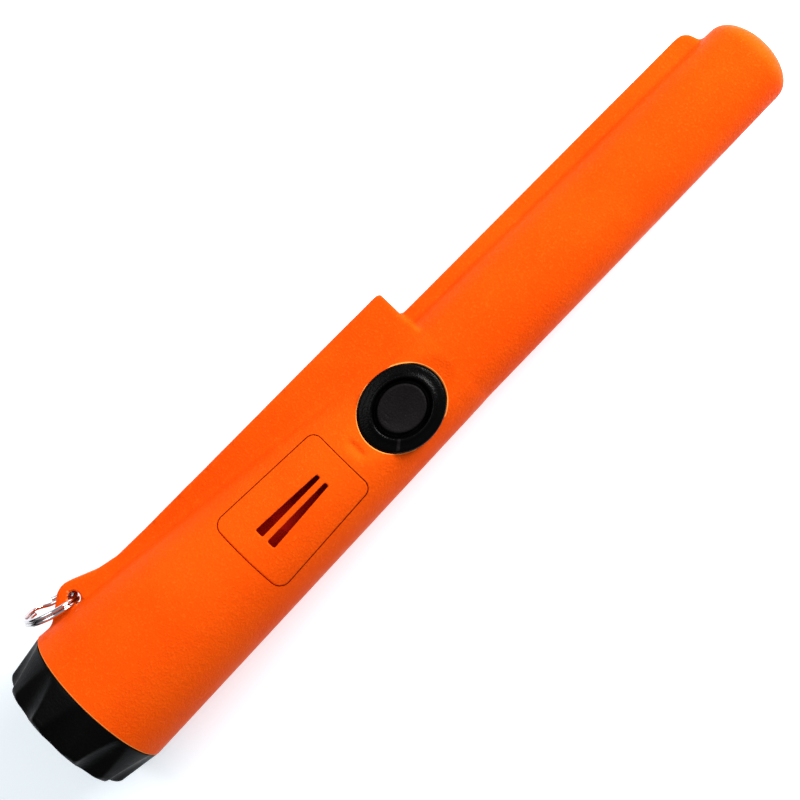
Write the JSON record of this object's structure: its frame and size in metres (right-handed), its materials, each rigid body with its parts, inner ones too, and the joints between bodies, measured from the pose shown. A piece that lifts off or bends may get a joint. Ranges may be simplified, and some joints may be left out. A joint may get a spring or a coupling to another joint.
{
  "type": "pinpointer probe",
  "caption": "Handheld metal-detecting probe: tapered one-piece housing with a push button, speaker panel, scraping blade, lanyard ring and screw battery cap.",
  "frame": {"origin": "centre of the battery cap's flat end face, on the cap's screw axis", "axes": "+X towards the sensing tip, +Y towards the scraping blade and the lamp block, +Z the way the push button faces"},
  "size_m": [0.2285, 0.0451, 0.039],
  "materials": {
    "orange_shell": "fine moulded grain",
    "black_cap": "fine moulded grain",
    "black_rubber": "grained rubber",
    "red_rubber": "smooth",
    "gray_foam": "foam",
    "battery_jacket": "printed foil",
    "plated_steel": "polished",
    "bare_steel": "plain",
    "contact_brass": "plated",
    "black_nylon": "moulded",
    "green_board": "solder mask",
    "chip_black": "moulded",
    "clear_lens": "clear",
    "lamp_white": "cast",
    "membrane_black": "woven membrane",
    "ferrite": "sintered",
    "ivory_former": "moulded",
    "enamelled_copper": "enamelled wire",
    "graphite_sleeve": "coated",
    "red_wire": "insulated",
    "black_wire": "insulated",
    "white_wire": "insulated",
    "blue_wire": "insulated"
  },
  "bodies": {
    "root": {"housing": "orange_shell", "speaker_cover": "orange_shell", "speaker_membrane": "membrane_black", "speaker_gasket": "gray_foam", "speaker": "bare_steel", "button_collar": "black_rubber", "tact_switch": "bare_steel", "battery": "battery_jacket", "battery_terminals": "plated_steel", "battery_cradle": "black_nylon", "contact_plate": "green_board", "contact_leaves": "contact_brass", "lamp_lens": "clear_lens", "lens_seal": "black_rubber", "lamp_led": "lamp_white", "lamp_board": "green_board", "chassis": "black_nylon", "board_screws": "bare_steel", "circuit_board": "green_board", "processor": "chip_black", "amplifier": "chip_black", "capacitors": "bare_steel", "vibration_motor": "plated_steel", "motor_cradle": "black_rubber", "ferrite_rod": "ferrite", "coil_former": "ivory_former", "transmit_coil": "enamelled_copper", "receive_coils": "enamelled_copper", "coil_shield": "graphite_sleeve", "tip_cushion": "gray_foam", "battery_leads": "red_wire", "speaker_leads": "black_wire", "lamp_leads": "white_wire", "motor_leads": "blue_wire", "coil_leads": "enamelled_copper"},
    "cap_seal": {"cap_o_ring": "red_rubber"},
    "cap": {"battery_cap": "black_cap", "cap_cushion": "gray_foam"},
    "button": {"button_pad": "black_rubber", "switch_stem": "chip_black"},
    "ring": {"split_ring": "plated_steel"},
    "motor_rotor": {"motor_weight": "bare_steel"}
  },
  "joints": [
    {"name": "cap_travel", "type": "slide", "parent": "root", "child": "cap_seal", "axis": [-1, 0, 0], "range_m": [0, 0.01081]},
    {"name": "cap_turn", "type": "hinge", "parent": "cap_seal", "child": "cap", "pos_m": [0, 0, 0], "axis": [-1, 0, 0], "range_deg": [0, 1080]},
    {"name": "button_press", "type": "slide", "parent": "root", "child": "button", "axis": [-0.062, 0, -0.9981], "range_m": [0, 0.0006], "stiffness_N_per_m": 400},
    {"name": "ring_swing", "type": "hinge", "parent": "root", "child": "ring", "pos_m": [0.0243, 0.0199, 0], "axis": [0, 0, 1], "range_deg": [-148, 9]},
    {"name": "motor_spin", "type": "hinge", "parent": "root", "child": "motor_rotor", "pos_m": [0.07768, -0.0041, -0.0064], "axis": [1, 0, 0], "continuous": true}
  ],
  "couplings": [
    {"joint": "cap_travel", "follows": "cap_turn", "m_per_rad": 0.00057296}
  ]
}
